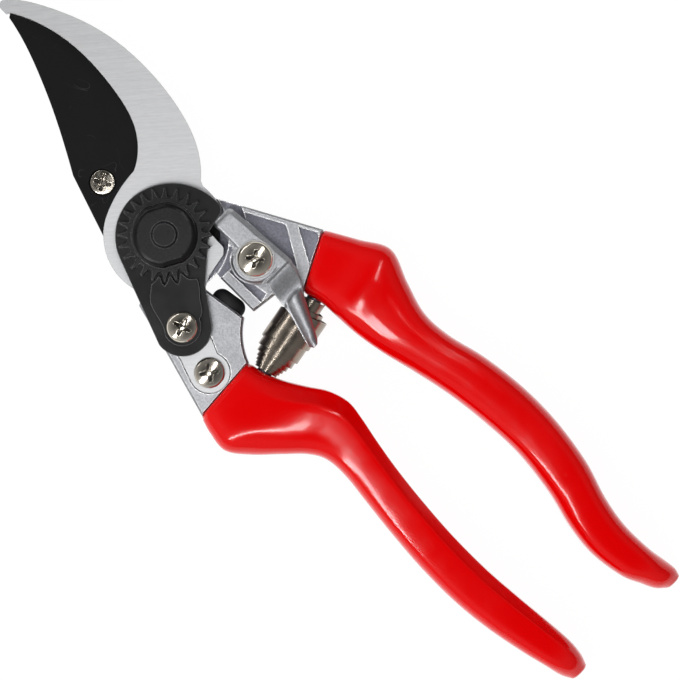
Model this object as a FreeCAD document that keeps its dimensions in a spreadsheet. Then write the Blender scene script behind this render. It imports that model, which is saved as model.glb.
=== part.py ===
import FreeCAD, Part
import math
import os

import Sketcher
from FreeCAD import Placement, Rotation, Vector

# Bypass pruning shears with a swept handle pair, shown closed and latched.
# Millimetres, +Z up. The origin is on the pivot axis at the back of the pivot
# bolt's head, which is the surface that the shears lie on. +Y runs to the tips.

DIMENSIONS = {
    # reach of the four arms from the pivot axis
    "blade_reach": 64.9,
    "claw_reach": 68.1,
    "grip_reach": 146.7,
    # stack along the pivot axis, from the back
    "bolt_head_height": 3.0,
    "washer_thickness": 0.5,
    "lug_thickness": 4.5,
    "blade_thickness": 3.0,
    "blade_land": 0.7,
    "grind_width": 4.5,
    "slide_gap": 0.1,
    "claw_thickness": 3.2,
    "plate_thickness": 2.6,
    "flange_height": 2.2,
    "nut_boss_height": 2.9,
    "bolt_stand": 0.6,
    "back_step": 0.6,
    # pivot
    "running_clearance": 0.05,
    "pivot_radius": 4.0,
    "thread_radius": 3.2,
    "bolt_head_radius": 7.5,
    "disc_radius": 15.0,
    "seat_clearance": 0.4,
    "sweep_radius": 19.8,
    # toothed nut and the segment that locks it
    "nut_radius": 11.4,
    "nut_root_radius": 9.2,
    "nut_boss_radius": 8.0,
    "nut_flat": 7.6,
    "tooth_count": 24,
    "mesh_clearance": 0.15,
    # screws
    "segment_screw_x": -12.65,
    "segment_screw_y": -18.65,
    "tail_screw_x": -15.9,
    "tail_screw_y": -31.0,
    "blade_screw_x": -1.7,
    "blade_screw_y": 20.0,
    "small_head_radius": 3.7,
    "small_head_height": 2.0,
    "screw_radius": 2.0,
    "blade_head_radius": 3.3,
    "blade_head_depth": 1.9,
    "cross_arm": 2.2,
    "cross_half": 0.5,
    "cross_depth": 1.3,
    # latch
    "latch_x": 11.3,
    "latch_y": -19.5,
    "latch_gap": 0.3,
    "latch_thickness": 2.8,
    "latch_boss_radius": 5.2,
    "latch_shoulder_radius": 2.9,
    "latch_washer_thickness": 0.4,
    "latch_head_radius": 4.2,
    "latch_head_height": 2.3,
    # castings and grips
    "pocket_depth": 2.2,
    "well_depth": 5.2,
    "tail_radius": 4.9,
    "tail_clearance": 0.25,
    "neck_margin": 0.1,
    "grip_wall": 1.9,
    # cushion
    "cushion_radius": 4.4,
    "cushion_height": 3.0,
    "cushion_stem_radius": 2.4,
    "cushion_stem_length": 5.0,
    # return spring
    "spring_end_radius": 3.3,
    "spring_middle_radius": 5.9,
    "spring_strip": 0.7,
    "spring_seat_depth": 3.0,
    "peg_radius": 1.9,
    "peg_length": 3.4,
}

doc = FreeCAD.newDocument("PruningShears")
sheet = doc.addObject("Spreadsheet::Sheet", "Dims")
for row, (name, number) in enumerate(DIMENSIONS.items(), 1):
    sheet.set(f"A{row}", name)
    sheet.set(f"B{row}", str(number))
    sheet.setAlias(f"B{row}", name)
doc.recompute()


def terms(text):
    """The signed terms of a sum of sheet cells and numbers."""
    return [t for t in text.replace(" ", "").replace("-", "+-").split("+") if t]


def value(text):
    """What a sum such as "a + b - 0.5" comes to."""
    total = 0.0
    for term in terms(str(text)):
        sign = -1.0 if term.startswith("-") else 1.0
        word = term.lstrip("-")
        total += sign * (float(sheet.get(word)) if word[0].isalpha() else float(word))
    return total


def formula(text):
    """The same sum as an expression on the sheet's cells."""
    words = []
    for term in terms(str(text)):
        sign = "-" if term.startswith("-") else "+"
        word = term.lstrip("-")
        words.append(sign + ("Dims." + word if word[0].isalpha() else word))
    return "0 " + " ".join(words)


def minus(text):
    """The sum with every sign turned round."""
    flipped = [t[1:] if t.startswith("-") else "-" + t for t in terms(text)]
    return " + ".join(flipped).replace("+ -", "- ")


def bind(thing, prop, text):
    thing.setExpression(prop, formula(text))


# ---- levels along the pivot axis --------------------------------------------
LUG = "bolt_head_height + washer_thickness"
BLADE = LUG + " + lug_thickness"
CLAW = BLADE + " + blade_thickness + slide_gap"
PLATE = CLAW + " + claw_thickness"
NUT = PLATE + " + plate_thickness"
LATCH = NUT + " + latch_gap"
BACK = LUG + " + back_step"
CASTING = "lug_thickness + blade_thickness + slide_gap + claw_thickness - back_step"
MIDDLE = value(BACK) + value(CASTING) / 2
TAPPED = "screw_radius + running_clearance"

REACH_DRAWN = {"blade": 64.9, "claw": 68.1, "grip": 146.7}
SHANK = 20.0   # where the blades' curved part begins
NECK = 36.0    # where the grips begin


def up(arm, x, y):
    """A point of a blade, moved along when the blade is made longer."""
    stretch = (value(arm + "_reach") - SHANK) / (REACH_DRAWN[arm] - SHANK)
    return Vector(x, SHANK + (y - SHANK) * stretch if y > SHANK else y, 0)


def down(x, y):
    """A point of a grip, moved along when the grips are made longer."""
    stretch = (value("grip_reach") - NECK) / (REACH_DRAWN["grip"] - NECK)
    return Vector(x, -NECK + (y + NECK) * stretch if y < -NECK else y, 0)


def polar(radius, degrees, x=0.0, y=0.0):
    angle = math.radians(degrees)
    return Vector(x + radius * math.cos(angle), y + radius * math.sin(angle), 0)


# ---- sketches and features --------------------------------------------------
def new_body(label):
    body = doc.addObject("PartDesign::Body", label)
    body.Label = label
    return body


def new_sketch(body, height="0", plane="XY_Plane"):
    sketch = body.newObject("Sketcher::SketchObject", body.Label + "_sketch")
    base = next(f for f in body.Origin.OriginFeatures if f.Role == plane)
    sketch.AttachmentSupport = [(base, "")]
    sketch.MapMode = "FlatFace"
    bind(sketch, "AttachmentOffset.Base.z", height)
    return sketch


def line(start, end):
    return Part.LineSegment(start, end)


def arc(start, through, end):
    return Part.Arc(start, through, end)


def curve(points):
    spline = Part.BSplineCurve()
    spline.interpolate(points)
    return spline


def chain(points):
    return [line(a, b) for a, b in zip(points, points[1:])]


def outline(sketch, pieces):
    """Closes lines, arcs and curves that follow one another into a loop."""
    first = sketch.GeometryCount
    sketch.addGeometry(pieces, False)
    count = len(pieces)
    for i in range(count):
        here, there = first + i, first + (i + 1) % count
        for a in (1, 2):
            for b in (1, 2):
                apart = sketch.getPoint(here, a).distanceToPoint(sketch.getPoint(there, b))
                if apart < 1e-6 and (count > 2 or a == 2):
                    sketch.addConstraint(Sketcher.Constraint("Coincident", here, a, there, b))


def polygon(sketch, corners):
    """A closed outline whose corners are sums of sheet cells."""
    points = [Vector(value(x), value(y), 0) for x, y in corners]
    first = sketch.GeometryCount
    count = len(points)
    for i in range(count):
        sketch.addGeometry(line(points[i], points[(i + 1) % count]), False)
    for i in range(count):
        sketch.addConstraint(
            Sketcher.Constraint("Coincident", first + i, 2, first + (i + 1) % count, 1))
    for i, (x, y) in enumerate(corners):
        for kind, text in (("DistanceX", x), ("DistanceY", y)):
            index = sketch.addConstraint(
                Sketcher.Constraint(kind, -1, 1, first + i, 1, value(text)))
            bind(sketch, f"Constraints[{index}]", text)


def circle(sketch, radius, x="0", y="0"):
    """A circle whose radius and centre are sums of sheet cells."""
    centre = Vector(value(x), value(y), 0)
    index = sketch.addGeometry(Part.Circle(centre, Vector(0, 0, 1), value(radius)), False)
    place = (("DistanceX", x), ("DistanceY", y))
    for kind, text in place:
        number = sketch.addConstraint(
            Sketcher.Constraint(kind, -1, 1, index, 3, value(text)))
        bind(sketch, f"Constraints[{number}]", text)
    number = sketch.addConstraint(Sketcher.Constraint("Radius", index, value(radius)))
    bind(sketch, f"Constraints[{number}]", radius)


def grow(body, kind, sketch, length):
    """A Pad that adds above its sketch, or a Pocket that cuts below it."""
    before = body.Shape.Volume if body.Tip else 0.0
    feature = body.newObject("PartDesign::" + kind, body.Label + "_" + kind)
    feature.Profile = sketch
    bind(feature, "Length", length)
    doc.recompute()
    after = body.Shape.Volume
    if (kind == "Pocket") != (after < before) or abs(after - before) < 1e-3:
        raise RuntimeError(f"{feature.Label} changed nothing it should")
    return feature


def pad(body, height, length, pieces):
    sketch = new_sketch(body, height)
    outline(sketch, pieces)
    return grow(body, "Pad", sketch, length)


def pocket(body, height, depth, pieces):
    sketch = new_sketch(body, height)
    outline(sketch, pieces)
    return grow(body, "Pocket", sketch, depth)


def round_pad(body, height, length, radius, x="0", y="0"):
    sketch = new_sketch(body, height)
    circle(sketch, radius, x, y)
    return grow(body, "Pad", sketch, length)


def bore(body, top, depth, radius, x="0", y="0"):
    sketch = new_sketch(body, top)
    circle(sketch, radius, x, y)
    return grow(body, "Pocket", sketch, depth)


def edges_at(feature, height, keep=lambda edge: True):
    """The names of the edges that lie flat at one height."""
    names = []
    for number, edge in enumerate(feature.Shape.Edges, 1):
        box = edge.BoundBox
        if abs(box.ZMin - height) < 1e-4 and abs(box.ZMax - height) < 1e-4 and keep(edge):
            names.append(f"Edge{number}")
    return names


def ease(body, height, size, keep=lambda edge: True, kind="Chamfer"):
    """Breaks the flat edges at one height."""
    feature = body.Tip
    easing = body.newObject("PartDesign::" + kind, body.Label + "_" + kind)
    easing.Base = (feature, edges_at(feature, height, keep))
    if kind == "Chamfer":
        easing.Size = size
    else:
        easing.Radius = size
    doc.recompute()
    if easing.Shape.isNull():
        raise RuntimeError(f"{easing.Label} could not be made")
    return easing


def turned(body, corners):
    """Adds a solid of revolution about the body's own Z axis, from half its section."""
    sketch = new_sketch(body, plane="XZ_Plane")
    polygon(sketch, corners)
    spin = body.newObject("PartDesign::Revolution", body.Label + "_Revolution")
    spin.Profile = sketch
    spin.ReferenceAxis = (sketch, ["V_Axis"])
    spin.Angle = 360
    doc.recompute()
    return spin


# ---- screws -----------------------------------------------------------------
def cross_recess(body, top):
    """Cuts a cross-shaped driver recess into a flat top."""
    arm, half = "cross_arm", "cross_half"
    sketch = new_sketch(body, top)
    polygon(sketch, [
        (arm, half), (half, half), (half, arm), ("-" + half, arm),
        ("-" + half, half), ("-" + arm, half), ("-" + arm, "-" + half),
        ("-" + half, "-" + half), ("-" + half, "-" + arm), (half, "-" + arm),
        (half, "-" + half), (arm, "-" + half)])
    grow(body, "Pocket", sketch, "cross_depth")


def pan_screw(label, place, seat, head, shank):
    """A domed cross-recess screw; head and shank are (radius, height) pairs."""
    body = new_body(label)
    radius, height = head
    thick, length = shank
    turned(body, [("0", minus(length)), (thick, minus(length)), (thick, "0"), (radius, "0"),
                  (radius, height), ("0", height)])
    ease(body, value(height), 0.62 * value(height), kind="Fillet")
    cross_recess(body, height)
    for axis, text in zip("xyz", (*place, seat)):
        bind(body, f"Placement.Base.{axis}", text)
    return body


# ---- castings ---------------------------------------------------------------
SEAT = "disc_radius + seat_clearance"
UPPER_NECK = (Vector(28.0, -26.0, 0), Vector(13.9, -33.4, 0))
# The finger grip starts just past the end of the claw's tail.
LOWER_START = value("tail_screw_y - tail_radius - neck_margin")
LOWER_NECK = (Vector(-24.6, LOWER_START - 1.2, 0), Vector(-7.6, LOWER_START, 0))


def upper_casting():
    """Head of the palm handle: blade arm, pivot lug, stop bar and latch pad."""
    body = new_body("upper_casting")
    seat, lug = value(SEAT), value("disc_radius")
    inner = seat - 1.9     # lies inside the disc's seat, which is cut away later
    arm_end = 5.4
    pad(body, BACK, CASTING, [
        line(polar(inner, -4), Vector(15.0, -2.2, 0)),
        *chain([Vector(15.0, -2.2, 0), *UPPER_NECK]),
        arc(UPPER_NECK[1], Vector(11.8, -30.2, 0), Vector(8.6, -28.8, 0)),
        *chain([Vector(8.6, -28.8, 0), Vector(2.1, -28.0, 0), polar(inner, -81)]),
        arc(polar(inner, -81), polar(inner, -40), polar(inner, -4)),
    ])
    ease(body, value(PLATE), 0.5)
    ease(body, value(BACK), 0.6)
    screw = (value("blade_screw_x"), value("blade_screw_y"))
    right, left = polar(arm_end, 10, *screw), polar(arm_end, 165, *screw)
    pad(body, LUG, "lug_thickness", [
        arc(polar(lug, 134), polar(lug, 260), polar(lug, 38)),
        line(polar(lug, 38), right),
        arc(right, polar(arm_end, 88, *screw), left),
        line(left, polar(lug, 134)),
    ])
    bore(body, PLATE, "slide_gap + claw_thickness + blade_thickness", SEAT)
    sweep = value("sweep_radius")
    pocket(body, PLATE, "slide_gap + claw_thickness", [
        *chain([polar(seat - 1, 10), polar(sweep, 10)]),
        arc(polar(sweep, 10), polar(sweep, -18), polar(sweep, -44)),
        *chain([polar(sweep, -44), polar(seat - 1, -44)]),
        arc(polar(seat - 1, -44), polar(seat - 1, -18), polar(seat - 1, 10)),
    ])
    groove = [Vector(4.7, -16.6, 0), Vector(5.8, -16.6, 0), Vector(7.4, -27.2, 0),
              Vector(4.9, -27.8, 0), Vector(4.7, -16.6, 0)]
    well = [Vector(1.0, -14.6, 0), Vector(8.4, -11.6, 0), Vector(9.8, -13.2, 0),
            Vector(5.8, -16.8, 0), Vector(1.4, -16.8, 0), Vector(1.0, -14.6, 0)]
    near = [Vector(16.3, -9.9, 0), Vector(17.7, -9.5, 0), Vector(22.5, -18.5, 0),
            Vector(22.1, -19.6, 0), Vector(16.9, -28.4, 0), Vector(16.3, -9.9, 0)]
    far = [Vector(24.3, -21.0, 0), Vector(26.6, -25.4, 0), Vector(26.0, -26.6, 0),
           Vector(19.4, -29.9, 0), Vector(24.3, -21.0, 0)]
    pocket(body, PLATE, "well_depth", chain(well))
    for corners in (groove, near, far):
        pocket(body, PLATE, "pocket_depth", chain(corners))
    round_pad(body, PLATE, "plate_thickness + latch_gap", "latch_boss_radius",
              "latch_x", "latch_y")
    bore(body, LATCH, "latch_thickness + well_depth", TAPPED, "latch_x", "latch_y")
    bore(body, BLADE, "lug_thickness", "pivot_radius + running_clearance")
    bore(body, BLADE, "lug_thickness", TAPPED, "blade_screw_x", "blade_screw_y")
    return body


def tail(clear):
    """The claw's tail outside the disc, widened by a clearance; clockwise from the left."""
    x, y = value("tail_screw_x"), value("tail_screw_y")
    radius = value("tail_radius") + clear
    left, right = polar(radius, 165, x, y), polar(radius, 22, x, y)
    return [
        *chain([polar(value("disc_radius"), 196), Vector(-17.6 - clear, -17.0, 0),
                Vector(-18.6 - clear, -24.0, 0), left]),
        arc(left, polar(radius, 273.5, x, y), right),
        *chain([right, Vector(-9.2 + clear, -24.0, 0), Vector(-3.4 + clear, -16.4, 0)]),
    ]


def lower_casting():
    """Head of the finger handle, with the recess that the claw's tail lies in."""
    body = new_body("lower_casting")
    seat = value(SEAT) + 0.3     # this handle turns with the disc, so it only has to clear it
    pad(body, BACK, CASTING, [
        *chain([polar(seat, 204), Vector(-16.5, -7.5, 0), Vector(-19.4, -18.6, 0), *LOWER_NECK]),
        arc(LOWER_NECK[1], Vector(-4.6, -30.9, 0), Vector(-0.6, -27.4, 0)),
        *chain([Vector(-0.6, -27.4, 0), Vector(-2.2, -17.3, 0), polar(seat, 261)]),
        arc(polar(seat, 261), polar(seat, 232), polar(seat, 204)),
    ])
    ease(body, value(PLATE), 0.5)
    ease(body, value(BACK), 0.6)
    recess = tail(value("tail_clearance"))
    close = [Vector(-1.5, -15.9, 0), polar(seat - 2, 264), polar(seat - 2, 200)]
    pocket(body, PLATE, "claw_thickness", [
        *recess, *chain([recess[-1].EndPoint, *close, recess[0].StartPoint])])
    for screw in ("tail_screw", "segment_screw"):
        bore(body, CLAW, CASTING, TAPPED, screw + "_x", screw + "_y")
    return body


# ---- grips ------------------------------------------------------------------
# Stations down each grip: left edge, right edge, and how much of the height
# from the rest surface to the handle's middle the grip's half thickness takes.
UPPER_GRIP = [
    (*UPPER_NECK[::-1], 0.72),
    (Vector(15.1, -38.0, 0), Vector(32.4, -33.6, 0), 0.83),
    (Vector(15.4, -43.5, 0), Vector(36.5, -41.8, 0), 0.92),
    (Vector(15.9, -50.0, 0), Vector(33.4, -49.5, 0), 0.97),
    (Vector(17.2, -57.5, 0), Vector(31.1, -57.5, 0), 1.0),
    (Vector(19.3, -66.0, 0), Vector(31.5, -65.5, 0), 1.0),
    (Vector(21.4, -76.0, 0), Vector(33.9, -75.5, 0), 1.0),
    (Vector(22.7, -87.0, 0), Vector(35.3, -87.0, 0), 1.0),
    (Vector(23.1, -98.0, 0), Vector(35.2, -98.5, 0), 1.0),
    (Vector(21.7, -109.5, 0), Vector(33.4, -110.5, 0), 1.0),
    (Vector(19.4, -119.0, 0), Vector(30.5, -120.0, 0), 1.0),
    (Vector(18.5, -127.5, 0), Vector(29.1, -128.0, 0), 0.98),
    (Vector(19.7, -136.0, 0), Vector(29.2, -136.0, 0), 0.93),
    (Vector(21.7, -140.8, 0), Vector(29.9, -140.8, 0), 0.83),
    (Vector(24.0, -144.2, 0), Vector(30.1, -144.2, 0), 0.62),
    (Vector(26.2, -146.2, 0), Vector(29.4, -146.2, 0), 0.3),
]
LOWER_GRIP = [
    (*LOWER_NECK, 0.72),
    (Vector(-26.3, -41.5, 0), Vector(-6.5, -40.6, 0), 0.84),
    (Vector(-26.7, -47.0, 0), Vector(-4.4, -45.2, 0), 0.93),
    (Vector(-22.9, -52.2, 0), Vector(-1.4, -50.2, 0), 0.97),
    (Vector(-17.6, -57.3, 0), Vector(1.4, -54.6, 0), 1.0),
    (Vector(-13.1, -61.8, 0), Vector(2.9, -59.8, 0), 1.0),
    (Vector(-10.8, -66.0, 0), Vector(2.3, -65.0, 0), 1.0),
    (Vector(-10.4, -72.0, 0), Vector(1.0, -71.5, 0), 1.0),
    (Vector(-11.3, -80.0, 0), Vector(-0.4, -80.0, 0), 1.0),
    (Vector(-12.4, -90.0, 0), Vector(-1.5, -90.0, 0), 1.0),
    (Vector(-13.2, -101.0, 0), Vector(-2.2, -101.0, 0), 1.0),
    (Vector(-13.2, -112.0, 0), Vector(-2.2, -112.0, 0), 1.0),
    (Vector(-12.2, -122.0, 0), Vector(-1.5, -122.0, 0), 0.99),
    (Vector(-10.4, -131.5, 0), Vector(-0.6, -131.5, 0), 0.95),
    (Vector(-8.6, -138.5, 0), Vector(-0.2, -138.5, 0), 0.88),
    (Vector(-7.2, -142.8, 0), Vector(-0.9, -142.8, 0), 0.7),
    (Vector(-5.7, -145.8, 0), Vector(-2.4, -145.8, 0), 0.36),
]


def ring(left, right, half_height, power):
    """A closed section between two edges, squarer as the power rises."""
    centre = (left + right) / 2
    side = (right - left) / 2
    points = []
    for i in range(20):
        angle = math.tau * i / 20
        across = math.copysign(abs(math.cos(angle)) ** (2 / power), math.cos(angle))
        rise = math.copysign(abs(math.sin(angle)) ** (2 / power), math.sin(angle))
        points.append(centre + side * across + Vector(0, 0, MIDDLE + half_height * rise))
    spline = Part.BSplineCurve()
    spline.interpolate(points, PeriodicFlag=True)
    return Part.Wire([spline.toShape()])


def grip_solid(stations, inset, power):
    """A loft down a grip, drawn in on every side by an inset."""
    rings = []
    for left, right, share in stations:
        left, right = down(left.x, left.y), down(right.x, right.y)
        half = MIDDLE * share
        step = (right - left).normalize() * inset
        room = min((right - left).Length / 2, half)
        if room > 1.6 * inset:
            rings.append(ring(left + step, right - step, half - inset, power))
    return Part.makeLoft(rings, True, False)


def feature(label, shape):
    thing = doc.addObject("Part::Feature", label)
    thing.Label = label
    thing.Shape = shape
    return thing


def combine(kind, label, base, tool):
    thing = doc.addObject("Part::" + kind, label)
    thing.Label = label
    thing.Base = base
    thing.Tool = tool
    doc.recompute()
    return thing


def tube(label, radius, length, start, direction):
    """A cylinder along a direction in the handles' middle plane."""
    thing = doc.addObject("Part::Cylinder", label)
    thing.Label = label
    bind(thing, "Radius", radius)
    bind(thing, "Height", length)
    thing.Placement = Placement(start, Rotation(Vector(0, 0, 1), direction))
    return thing


SPRING_LEFT = Vector(-6.3, -40.2, MIDDLE)
SPRING_RIGHT = Vector(14.9, -36.2, MIDDLE)
SPRING_WAY = (SPRING_RIGHT - SPRING_LEFT).normalize()
SPRING_LENGTH = SPRING_LEFT.distanceToPoint(SPRING_RIGHT)


def handle_and_grip(side, casting, stations, spring_end, outward):
    """A handle's casting with its cast core, and the dipped grip around the core."""
    wall = value("grip_wall")
    core = feature(side + "_core", grip_solid(stations, wall, 3.6))
    stock = combine("Fuse", side + "_stock", casting, core)
    approach = 3.0
    seat = tube(side + "_seat", "spring_end_radius + spring_strip",
                f"spring_seat_depth + {approach}", spring_end - outward * approach, outward)
    seated = combine("Cut", side + "_seated", stock, seat)
    start = spring_end + outward * (value("spring_seat_depth") + 2.0)
    peg = tube(side + "_peg", "peg_radius", "spring_seat_depth + 2 + peg_length",
               start, -outward)
    handle = combine("Fuse", side + "_handle", seated, peg)
    skin = feature(side + "_skin", grip_solid(stations, 0.0, 2.8))
    sleeve = combine("Cut", side + "_sleeve", skin, core)
    hole = tube(side + "_hole", "spring_end_radius + spring_strip + tail_clearance",
                f"spring_seat_depth + {approach}", spring_end - outward * approach, outward)
    grip = combine("Cut", side + "_grip", sleeve, hole)
    return [handle, grip]


# ---- blades -----------------------------------------------------------------
def blade_outline(grind):
    """The blade's outline, with its convex edge drawn in by a grind width."""
    base = 13.0
    tip = up("blade", 11.5 - 0.1 * grind, 64.9)
    heel, hip = polar(base, 136), polar(base, 45)
    shares = (0.45, 0.9, 1.0, 1.0, 0.8, 0.35)
    edge = [(15.0, 57.5), (17.9, 47.0), (18.0, 37.0), (16.2, 27.5), (12.6, 19.5), (10.0, 12.6)]
    drawn_in = [up("blade", x - grind * share, y) for (x, y), share in zip(edge, shares)]
    back = [up("blade", x, y) for x, y in
            ((10.5, 64.2), (8.9, 57.6), (5.8, 49.1), (1.9, 40.3), (-2.1, 32.5), (-5.6, 26.2))]
    return [
        arc(heel, polar(base, 270), hip),
        curve([hip, *drawn_in[::-1], tip]),
        line(tip, back[0]),
        curve(back),
        *chain([back[-1], Vector(-10.9, 10.3, 0), heel]),
    ]


def cutting_blade():
    """The black crescent, ground on its back along the convex edge."""
    body = new_body("cutting_blade")
    land_level = BLADE + " + blade_thickness - blade_land"
    ground, land = new_sketch(body, BLADE), new_sketch(body, land_level)
    outline(ground, blade_outline(value("grind_width")))
    outline(land, blade_outline(0.0))
    loft = body.newObject("PartDesign::AdditiveLoft", "grind")
    loft.Profile = ground
    loft.Sections = [land]
    loft.Ruled = True
    doc.recompute()
    pad(body, land_level, "blade_land", blade_outline(0.0))
    bore(body, CLAW, "blade_thickness + slide_gap", "pivot_radius + running_clearance")
    bore(body, CLAW, "blade_thickness + slide_gap", TAPPED,
         "blade_screw_x", "blade_screw_y")
    sink(body)
    return body


def sink(body):
    """The countersink that takes the blade screw's flat head flush."""
    sketch = new_sketch(body, BLADE + " + blade_thickness")
    circle(sketch, "blade_head_radius + running_clearance", "blade_screw_x", "blade_screw_y")
    cone = body.newObject("PartDesign::Pocket", "countersink")
    cone.Profile = sketch
    bind(cone, "Length", "blade_head_depth")
    slope = (value("blade_head_radius") - value("screw_radius")) / value("blade_head_depth")
    cone.TaperAngle = -math.degrees(math.atan(slope))
    doc.recompute()


def counter_blade():
    """The silver claw: hooked beak, disc about the pivot, and tail."""
    body = new_body("counter_blade")
    disc = value("disc_radius")
    beak = up("claw", 11.4, 68.0)
    outer = [up("claw", x, y) for x, y in
             ((12.5, 68.0), (15.4, 65.0), (18.9, 59.2), (22.6, 50.6), (24.9, 41.0), (25.4, 32.0),
              (24.3, 21.0), (22.3, 13.6), (19.6, 8.2), (15.4, 3.4))]
    inner = [up("claw", x, y) for x, y in
             ((11.5, 64.7), (14.2, 59.2), (16.3, 51.5), (16.9, 42.0), (16.0, 33.0), (13.6, 24.4),
              (9.8, 19.2), (5.6, 16.4))]
    way = tail(0.0)
    tip = [up("claw", 10.6, 66.9), up("claw", 10.6, 65.2)]
    pad(body, CLAW, "claw_thickness", [
        curve(inner[::-1]),
        *chain([inner[0], tip[1], tip[0]]),
        arc(tip[0], beak, outer[0]),
        curve(outer),
        *chain([outer[-1], polar(disc, 8)]),
        arc(polar(disc, 8), polar(disc, -2), polar(disc, -13)),
        *chain([polar(disc, -13), Vector(8.1, -6.6, 0), Vector(7.9, -12.0, 0),
                Vector(6.6, -13.2, 0), Vector(0.4, -14.4, 0), way[-1].EndPoint]),
        *way,
        arc(way[0].StartPoint, polar(disc, 160), polar(disc, 118)),
        curve([polar(disc, 118), Vector(-2.2, 15.1, 0), inner[-1]]),
    ])
    top = PLATE
    bore(body, top, "claw_thickness", "thread_radius + running_clearance")
    for screw in ("tail_screw", "segment_screw"):
        bore(body, top, "claw_thickness", TAPPED,
             screw + "_x", screw + "_y")
    return body


# ---- lock side --------------------------------------------------------------
def side_plate():
    """The black plate between the claw and the nut."""
    body = new_body("side_plate")
    x, y = value("segment_screw_x"), value("segment_screw_y")
    foot = 7.1
    left, right = polar(foot, 172, x, y), polar(foot, -42, x, y)
    pad(body, PLATE, "plate_thickness", [
        line(Vector(-11.7, 3.6, 0), left),
        arc(left, polar(foot, 245, x, y), right),
        *chain([right, Vector(-1.6, -15.3, 0), Vector(8.0, -6.9, 0), Vector(12.6, -5.9, 0)]),
        arc(Vector(12.6, -5.9, 0), Vector(14.2, -5.0, 0), Vector(14.6, -3.4, 0)),
        arc(Vector(14.6, -3.4, 0), Vector(10.4, 7.4, 0), Vector(0.0, 12.1, 0)),
        arc(Vector(0.0, 12.1, 0), Vector(-7.6, 9.3, 0), Vector(-11.7, 3.6, 0)),
    ])
    bore(body, NUT, "plate_thickness", "thread_radius + running_clearance")
    bore(body, NUT, "plate_thickness", TAPPED,
         "segment_screw_x", "segment_screw_y")
    return body


def tooth(body, degrees, height, length):
    """One tooth of the nut, a blunt wedge from the root circle."""
    root, top = value("nut_root_radius") - 0.3, value("nut_radius")
    pitch = 360 / value("tooth_count")
    corners = [polar(root, degrees - 0.42 * pitch), polar(top, degrees - 0.1 * pitch),
               polar(top, degrees + 0.1 * pitch), polar(root, degrees + 0.42 * pitch)]
    return pad(body, height, length, chain([*corners, corners[0]]))


def pivot_nut():
    """The toothed adjusting nut, with a round boss that has two wrench flats."""
    body = new_body("pivot_nut")
    round_pad(body, NUT, "flange_height", "nut_root_radius")
    first = tooth(body, 0.0, NUT, "flange_height")
    ring_of_teeth = body.newObject("PartDesign::PolarPattern", "teeth")
    ring_of_teeth.Originals = [first]
    axis = next(f for f in body.Origin.OriginFeatures if f.Role == "Z_Axis")
    ring_of_teeth.Axis = (axis, [""])
    ring_of_teeth.Angle = 360
    bind(ring_of_teeth, "Occurrences", "tooth_count")
    body.Tip = ring_of_teeth
    doc.recompute()
    ease(body, value(NUT) + value("flange_height"), 0.25)
    radius, flat = value("nut_boss_radius"), value("nut_flat")
    half = math.degrees(math.acos(flat / radius))
    lean = 62
    pad(body, NUT + " + flange_height", "nut_boss_height", [
        line(polar(radius, lean - half), polar(radius, lean + half)),
        arc(polar(radius, lean + half), polar(radius, lean + 90), polar(radius, lean + 180 - half)),
        line(polar(radius, lean + 180 - half), polar(radius, lean + 180 + half)),
        arc(polar(radius, lean + 180 + half), polar(radius, lean + 270),
            polar(radius, lean + 360 - half)),
    ])
    top = NUT + " + flange_height + nut_boss_height"
    ease(body, value(top), 1.5, kind="Fillet")
    bore(body, top, "flange_height + nut_boss_height", "thread_radius + running_clearance")
    return body


def toothed_segment():
    """The lock piece whose three teeth sit between the nut's teeth."""
    body = new_body("toothed_segment")
    pitch = 360 / value("tooth_count")
    valley = value("nut_radius") + 6 * value("mesh_clearance")
    flank = value("nut_radius") + value("mesh_clearance")
    tip = value("nut_root_radius") + 6 * value("mesh_clearance")
    gaps = [pitch * (n + 0.5) for n in (14, 15, 16)]
    teeth = [polar(valley, gaps[0] - 0.5 * pitch)]
    for gap in gaps:
        teeth += [polar(flank, gap - 0.3 * pitch), polar(tip, gap - 0.07 * pitch),
                  polar(tip, gap + 0.07 * pitch), polar(flank, gap + 0.3 * pitch),
                  polar(valley, gap + 0.5 * pitch)]
    x, y = value("segment_screw_x"), value("segment_screw_y")
    foot = 4.6
    left, right = polar(foot, 160, x, y), polar(foot, -20, x, y)
    ear, lobe = Vector(-12.9, -7.9, 0), Vector(-1.9, -12.9, 0)
    pad(body, NUT, "flange_height", [
        *chain([*teeth, lobe]),
        curve([lobe, Vector(-3.0, -14.9, 0), Vector(-5.0, -17.2, 0), Vector(-6.2, -19.0, 0), right]),
        arc(right, polar(foot, 250, x, y), left),
        curve([left, Vector(-15.5, -14.2, 0), Vector(-14.6, -10.6, 0), ear]),
        line(ear, teeth[0]),
    ])
    bore(body, NUT + " + flange_height", "flange_height", TAPPED,
         "segment_screw_x", "segment_screw_y")
    return body


def pivot_bolt():
    """The pivot bolt: the blade turns on its thick part, the nut is on its thin part."""
    body = new_body("pivot_bolt")
    head, thick, thin = "bolt_head_radius", "pivot_radius", "thread_radius"
    end = NUT + " + flange_height + nut_boss_height + bolt_stand"
    turned(body, [("0", "0"), (head, "0"), (head, "bolt_head_height"),
                  (thick, "bolt_head_height"), (thick, CLAW), (thin, CLAW), (thin, end), ("0", end)])
    broken = 0.5
    ease(body, value(end), broken)
    ease(body, 0.0, broken)
    return body


def pivot_washer():
    """The washer between the bolt's head and the palm handle's lug."""
    body = new_body("pivot_washer")
    round_pad(body, "bolt_head_height", "washer_thickness", "bolt_head_radius")
    bore(body, LUG, "washer_thickness", "pivot_radius + running_clearance")
    return body


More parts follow.
